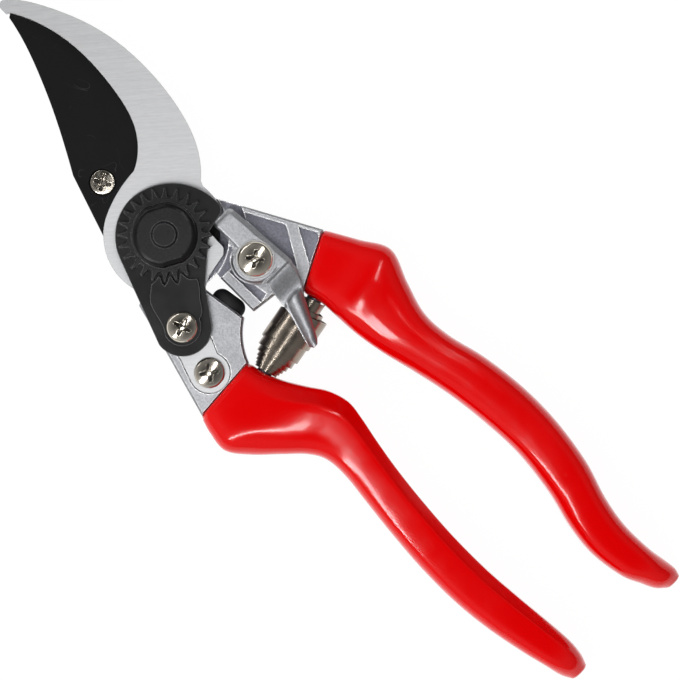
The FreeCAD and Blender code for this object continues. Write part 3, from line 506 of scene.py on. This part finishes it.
def grip(name, node, body, stations, inner):
    """A dipped grip: rolled lip at the casting, swept body and domed end."""
    mouth_inset, mouth_depth = 1.9, 0.6
    lip, lip_steps = 0.7, 6
    dome_shares, dome_rise = (0.75, 0.5, 0.25, 0.08), 0.5
    rows = smooth_rows(stations, STATION_STEPS)
    first, last = rows[0], rows[-1]
    ahead = (row_middle(rows[STATION_STEPS]) - row_middle(first)).normalized()
    rings = [grip_ring(first, inner, mouth_inset, ahead * mouth_depth)]
    for step in range(lip_steps + 1):
        angle = math.pi / 2 * step / lip_steps
        rings.append(grip_ring(first, inner, lip * (1 - math.sin(angle)),
                               ahead * lip * (1 - math.cos(angle))))
    rings += [grip_ring(row, inner) for row in rows[2:]]
    end_x, end_y = (last[0] + last[2]) / 2, (last[1] + last[3]) / 2
    for share in dome_shares:
        row = list(last)
        row[0], row[2] = end_x + (last[0] - end_x) * share, end_x + (last[2] - end_x) * share
        row[1] = row[3] = end_y - dome_rise * math.sqrt(1 - share ** 2)
        row[4] = last[4] * share
        rings.append(grip_ring(row, inner))
    vertices, faces = skin_rings(rings)
    piece = new_piece(name, vertices, faces, body, VINYL)
    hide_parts(node)


grip("palm_grip_skin", "upper_grip", PALM, PALM_GRIP, inner=-1)
grip("finger_grip_skin", "lower_grip", FINGER, FINGER_GRIP, inner=1)


# ---- screws ------------------------------------------------------------------
# The cross recess in millimetres: half a wing's width, how fast it narrows, how
# much shallower it gets towards its end, and how steep its walls and end are.
WING_HALF, WING_TAPER, WING_RISE, WING_WALL, WING_END = 0.60, 0.11, 0.45, 4.5, 0.8
POINT_RADIUS, POINT_WALL = 1.05, 3.5        # the round middle of the recess


def recess_depth(x, y, arm, deepest):
    """Depth of a cross recess with tapering wings and steep walls."""
    depth = 0.0
    for along, across in ((abs(x), abs(y)), (abs(y), abs(x))):
        half = WING_HALF - WING_TAPER * along
        inside = min(half - across, WING_END * (arm - along))
        floor = deepest * (1.0 - WING_RISE * (along / arm) ** 2)
        depth = max(depth, min(max(inside, 0.0) * WING_WALL, floor))
    centre = POINT_RADIUS - math.hypot(x, y)
    return max(depth, min(max(centre, 0.0) * POINT_WALL, deepest))


def screw(name, node, body, seat, rise, turn, arm):
    """A cross-recess screw; rise is how much of the head's height is its dome."""
    count, steps = 160, 56
    tiny, chamfer = 0.02, 0.08
    shank_share, rim_share, crown = 0.5, 0.45, 0.8
    recess_share, recess_limit = 0.62, 2.4
    centre, top, bottom = middle(node), high(node).z, low(node).z
    radius = (high(node).x - low(node).x) / 2
    height = top - seat
    shank = radius * shank_share
    rim = 0.0 if rise == 0 else rim_share * height
    deepest = recess_share * min(height, recess_limit)

    def circle(r, z):
        """A ring of points about the screw's axis."""
        return [(centre.x + r * math.cos(math.tau * i / count),
                 centre.y + r * math.sin(math.tau * i / count), z) for i in range(count)]

    rings = [circle(tiny, bottom), circle(shank, bottom), circle(shank, seat),
             circle(radius - chamfer, seat), circle(radius, seat + chamfer),
             circle(radius, seat + rim)]
    for step in range(steps + 1):
        r = (radius - tiny) * (1 - step / steps) + tiny
        near_rim = max(0.0, (r / radius - crown) / (1 - crown))
        dome = top - (rise * (r / radius) ** 2 + (1 - rise) * near_rim ** 3) * (height - rim)
        ring = []
        for i in range(count):
            angle = math.tau * i / count
            x, y = r * math.cos(angle - turn), r * math.sin(angle - turn)
            ring.append((centre.x + r * math.cos(angle), centre.y + r * math.sin(angle),
                         dome - recess_depth(x, y, arm, deepest)))
        rings.append(ring)
    vertices, faces = skin_rings(rings)
    piece = new_piece(name, vertices, faces, body, NICKEL)
    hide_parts(node)


WASHER_TOP = high("latch_washer").z
BLADE_HEAD = 1.9        # how high the blade screw's head stands
BLADE_SEAT = high("blade_screw").z - BLADE_HEAD
screw("segment_screw_head", "segment_screw", FINGER, FLANGE_TOP, rise=0.6, turn=0.30, arm=2.3)
screw("tail_screw_head", "tail_screw", FINGER, CASTING_TOP, rise=0.6, turn=0.95, arm=2.3)
screw("latch_screw_head", "latch_screw", PALM, WASHER_TOP, rise=0.7, turn=0.62, arm=2.2)
screw("blade_screw_head", "blade_screw", PALM, BLADE_SEAT, rise=0.06, turn=0.5, arm=2.1)


# ---- return spring -----------------------------------------------------------
# Half turns from the finger side: outer radius, and the strip's two edges along
# the spring's axis, in millimetres.
COILS = [
    (2.9, 0.0, 2.5), (3.05, 0.3, 3.0), (3.2, 0.6, 3.5), (3.4, 1.0, 4.2), (3.6, 1.4, 5.0),
    (3.8, 1.8, 6.0), (4.0, 2.3, 7.0), (4.3, 2.8, 8.0), (4.6, 3.4, 9.2), (4.95, 4.1, 10.4),
    (5.2, 4.9, 11.8), (5.5, 5.9, 13.4), (5.75, 7.1, 15.1), (6.0, 10.15, 17.9), (5.0, 12.6, 17.6),
    (4.3, 14.9, 18.8), (3.5, 16.8, 20.2), (3.1, 18.4, 21.4),
]
SPRING_LEFT = Vector((-6.3, -40.2, GRIP_MIDDLE))
SPRING_RIGHT = Vector((14.9, -36.2, GRIP_MIDDLE))


def return_spring():
    """A volute spring: one strip wound in telescoping turns."""
    way = (SPRING_RIGHT - SPRING_LEFT).normalized()
    side = Vector((-way.y, way.x, 0))
    up = Vector((0, 0, 1))
    per_half, across, strip = 28, 9, 0.28
    rows = smooth_rows(COILS, per_half)
    rings, shares = [], []
    for number, (radius, start, end) in enumerate(rows):
        angle = math.pi * number / per_half
        out = side * math.cos(angle) + up * math.sin(angle)
        outer = [SPRING_LEFT + way * (start + (end - start) * i / (across - 1)) + out * radius
                 for i in range(across)]
        inner = [point - out * strip for point in reversed(outer)]
        rings.append([tuple(point) for point in (*outer, *inner)])
        shares += [number / (len(rows) - 1)] * (2 * across)
    vertices, faces = skin_rings(rings)
    piece = new_piece("return_spring_coil", vertices, faces, None, STRIP)
    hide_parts("return_spring")
    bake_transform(piece)
    edges = piece.modifiers.new("strip_edges", "EDGE_SPLIT")
    edges.split_angle = math.radians(50)


return_spring()


# ---- latch lever -------------------------------------------------------------
LATCH_PIVOT = middle("latch_screw")
BOSS_RADIUS = 6.2
BLOCK_HEEL, BLOCK_FOOT = (15.9, -6.9), (17.35, -25.6)       # ends of the block's outer side


def step_between(value, start, end):
    """0 before start, 1 after end, and a smooth rise between them."""
    share = min(max((value - start) / (end - start), 0.0), 1.0)
    return share * share * (3 - 2 * share)


def lever_outline():
    """The lever seen from above: round boss, block and thumb tab."""
    boss = [(LATCH_PIVOT.x + BOSS_RADIUS * math.cos(math.radians(a)),
             LATCH_PIVOT.y + BOSS_RADIUS * math.sin(math.radians(a))) for a in range(250, 118, -6)]
    front = [(10.4, -13.6), (9.9, -7.0), (10.5, -6.3), (15.2, -6.2)]
    outer = [BLOCK_HEEL, BLOCK_FOOT, (15.6, -30.6), (13.0, -34.9), (10.6, -39.5), (8.3, -43.7)]
    tip = [(7.4, -44.6), (6.2, -44.6), (5.5, -43.4)]
    inner = [(6.6, -39.3), (7.9, -34.7), (8.3, -30.6), (8.9, -27.0)]
    return boss + front + outer + tip + inner


def block_face(x, y, top):
    """The block's upper face: chamfered outer side and front, sunk beside the boss."""
    side_drop, side_width = 0.9, 1.25
    front_drop, front = 0.8, (-7.6, -6.4)
    shelf_drop, shelf_edge, shelf_side = 0.9, (-16.0, -14.5), (-3.0, 0.0)
    inner_drop, inner_side, inner_width = 0.5, 10.7, 0.8
    boss_edge, block_end = (5.3, 5.9), -25.0
    run_x, run_y = BLOCK_FOOT[0] - BLOCK_HEEL[0], BLOCK_HEEL[1] - BLOCK_FOOT[1]
    from_side = (BLOCK_HEEL[0] - x) * run_y - (y - BLOCK_HEEL[1]) * run_x
    from_side /= math.hypot(run_x, run_y)
    height = top - side_drop * step_between(side_width - from_side, 0.0, side_width)
    height -= front_drop * step_between(y, *front)
    if y > block_end:
        off_boss = step_between(math.hypot(x - LATCH_PIVOT.x, y - LATCH_PIVOT.y), *boss_edge)
        before_boss = step_between(y, *shelf_edge)
        beside = step_between(LATCH_PIVOT.x - x, *shelf_side)
        height -= shelf_drop * off_boss * (1 - before_boss) * beside
        height -= inner_drop * step_between(inner_side - x, 0.0, inner_width) * before_boss
    return height


def tab_ridge(x, y, top):
    """The tab's rounded ridge, and how far it has taken over from the block's face."""
    tab_start, start_x, lean = 32.0, 11.7, 0.385
    start_half, taper, bow = 2.5, 0.075, 0.10
    crown_drop, side_drop, tip_drop = 0.35, 1.5, 0.7
    ridge_start, tip = (31.2, 32.6), (41.5, 44.6)
    down = -tab_start - y
    off = abs(x - (start_x - down * lean))
    share = step_between(-y - bow * off ** 2, *ridge_start)
    ridge = top - crown_drop - side_drop * min(off / (start_half - down * taper), 1.0) ** 2
    return ridge - tip_drop * step_between(-y, *tip), share


def lever_height(x, y, top):
    """The sculpted upper face of the lever, with a ramp from the block to the tab."""
    step_drop, step = 0.25, (25.3, 25.9)
    slope_drop, slope = 1.35, (25.6, 31.6)
    ramp = step_between(-y, *step) * (step_drop + slope_drop * step_between(-y, *slope))
    ridge, share = tab_ridge(x, y, top)
    return (block_face(x, y, top) - ramp) * (1 - share) + ridge * share


def loose_object(name, shape):
    """A scratch object from a bmesh, which it frees."""
    mesh = bpy.data.meshes.new(name)
    shape.to_mesh(mesh)
    shape.free()
    thing = bpy.data.objects.new(name, mesh)
    scene.collection.objects.link(thing)
    return thing


def lever_stock(bottom, top):
    """The lever's outline as a plain block, from bottom to top."""
    shape = bmesh.new()
    base = shape.faces.new([shape.verts.new((x, y, bottom)) for x, y in lever_outline()])
    raised = bmesh.ops.extrude_face_region(shape, geom=[base])
    bmesh.ops.translate(shape, vec=(0, 0, top - bottom),
                        verts=[v for v in raised["geom"] if isinstance(v, bmesh.types.BMVert)])
    bmesh.ops.recalc_face_normals(shape, faces=shape.faces)
    return loose_object("lever_stock", shape)


def lever_drill(top):
    """The tool that cuts the screw's hole through the boss."""
    hole_radius, depth = 2.95, 12
    shape = bmesh.new()
    bmesh.ops.create_cone(shape, cap_ends=True, segments=48, radius1=hole_radius,
                          radius2=hole_radius, depth=depth,
                          matrix=Matrix.Translation((LATCH_PIVOT.x, LATCH_PIVOT.y, top)))
    return loose_object("lever_drill", shape)


def latch_lever():
    """The cast thumb latch, made from its outline and then sculpted on top."""
    bottom, top = low("latch_lever").z, high("latch_lever").z
    stock, drill = lever_stock(bottom, top), lever_drill(top)
    cut = stock.modifiers.new("hole", "BOOLEAN")
    cut.object, cut.operation, cut.solver = drill, "DIFFERENCE", "EXACT"
    voxels = stock.modifiers.new("voxels", "REMESH")
    voxels.mode, voxels.voxel_size = "VOXEL", 0.17
    relax = stock.modifiers.new("relax", "SMOOTH")
    relax.factor, relax.iterations = 0.5, 4
    done = stock.evaluated_get(bpy.context.evaluated_depsgraph_get()).to_mesh()
    vertices = []
    for vertex in done.vertices:
        x, y, z = vertex.co
        share = (z - bottom) / (top - bottom)
        vertices.append((x, y, bottom + share * (lever_height(x, y, top) - bottom)))
    faces = [tuple(face.vertices) for face in done.polygons]
    for item in (stock, drill):
        bpy.data.objects.remove(item)
    piece = new_piece("latch_lever_casting", vertices, faces, LATCH, ALLOY)
    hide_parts("latch_lever")


latch_lever()


# ---- finishes of the CAD nodes -----------------------------------------------
def dress(node, material, edge):
    """A CAD node's own finish, with its edges softened by edge millimetres."""
    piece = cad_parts[node]
    for index in range(len(piece.data.materials)):
        piece.data.materials[index] = material
    weld = piece.modifiers.new("weld", "WELD")
    weld.merge_threshold = 0.002 * MM
    soft = piece.modifiers.new("soft_edges", "BEVEL")
    soft.width, soft.segments = edge * MM, 3
    soft.limit_method, soft.angle_limit = "ANGLE", math.radians(32)
    soft.use_clamp_overlap = True
    even = piece.modifiers.new("even_shading", "WEIGHTED_NORMAL")
    even.keep_sharp = True


FINISHES = {
    "upper_handle": (ALLOY, 0.3), "lower_handle": (ALLOY, 0.3),
    "cutting_blade": (COATING, 0.12), "counter_blade": (STEEL, 0.22),
    "side_plate": (PLATE_BLACK, 0.25), "toothed_segment": (PLATE_BLACK, 0.25),
    "pivot_nut": (NUT_BLACK, 0.2), "pivot_bolt": (NUT_BLACK, 0.2),
    "pivot_washer": (WASHER, 0.08), "latch_washer": (WASHER, 0.08),
    "rubber_cushion": (RUBBER, 0.2),
}
for dressed, (material, edge) in FINISHES.items():
    dress(dressed, material, edge)


# ---- floor, light and camera -------------------------------------------------
def floor():
    """A wide pale floor just under the shears, bright enough to have no edge."""
    mesh = bpy.data.meshes.new("floor")
    side, drop = 2.0, -0.2 * MM
    mesh.from_pydata([(-side, -side, drop), (side, -side, drop), (side, side, drop),
                      (-side, side, drop)], [], [(0, 1, 2, 3)])
    plane = bpy.data.objects.new("floor", mesh)
    scene.collection.objects.link(plane)
    mesh.materials.append(new_material("pale_floor", {
        "Base Color": (0.06, 0.06, 0.06, 1.0), "Roughness": 0.9, "Specular IOR Level": 0.0,
        "Emission Color": (1.0, 1.0, 1.0, 1.0), "Emission Strength": 0.97})[0])


def lamp(name, place, target, size, watts):
    """A long soft lamp that faces its target; places and sizes are in metres."""
    light = bpy.data.lights.new(name, "AREA")
    light.shape = "RECTANGLE"
    light.size, light.size_y = size
    light.energy = watts
    holder = bpy.data.objects.new(name, light)
    holder.location = place
    way = Vector(target) - Vector(place)
    holder.rotation_euler = way.to_track_quat("-Z", "Y").to_euler()
    scene.collection.objects.link(holder)


def surroundings():
    """A bright tent that is darker straight overhead, where the camera looks through."""
    world = bpy.data.worlds.new("tent")
    scene.world = world
    world.use_nodes = True
    tree = world.node_tree
    tree.nodes.clear()
    way = add(tree, "ShaderNodeTexCoord").outputs["Generated"]
    parts = add(tree, "ShaderNodeSeparateXYZ", {0: way}).outputs
    up = parts["Z"]
    high_up = spread(tree, up, low_in=0.78, high_in=0.98, low_out=0.36, high_out=0.01)
    low_down = spread(tree, up, low_in=0.0, high_in=0.5, low_out=-0.12, high_out=0.0)
    sideways = spread(tree, parts["X"], low_in=-1.0, high_in=1.0, low_out=1.40, high_out=0.35)
    strength = maths(tree, "MULTIPLY", maths(tree, "ADD", high_up, low_down), sideways)
    sky = add(tree, "ShaderNodeBackground", {"Color": (1.0, 1.0, 1.0, 1.0), "Strength": strength})
    out = add(tree, "ShaderNodeOutputWorld")
    tree.links.new(sky.outputs[0], out.inputs["Surface"])


def camera():
    """Straight down on the nut side, with the tips towards the upper left."""
    view = bpy.data.cameras.new("camera")
    eye = bpy.data.objects.new("camera", view)
    distance, field, sensor = 1.1, 0.1648, 36
    centre = Vector((0.0119, -0.0476, 0.0))
    eye.location = centre + Vector((0, 0, distance + GRIP_MIDDLE * MM))
    eye.rotation_euler = (0, 0, -math.pi / 4)
    view.sensor_width = sensor
    view.sensor_fit = "HORIZONTAL"
    view.lens = sensor * distance / field
    scene.collection.objects.link(eye)
    scene.camera = eye


floor()
surroundings()
camera()
LIT = (0.01, -0.04, 0.0)        # where the lamps point, in metres
lamp("left_strip", (-0.42, -0.05, 0.78), LIT, size=(0.045, 0.9), watts=3.7)
lamp("right_strip", (0.40, 0.05, 0.85), LIT, size=(0.04, 0.6), watts=1.2)
lamp("tip_strip", (0.05, 0.75, 0.55), LIT, size=(0.7, 0.05), watts=1.2)
scene.view_settings.view_transform = "Standard"
scene.view_settings.look = "None"
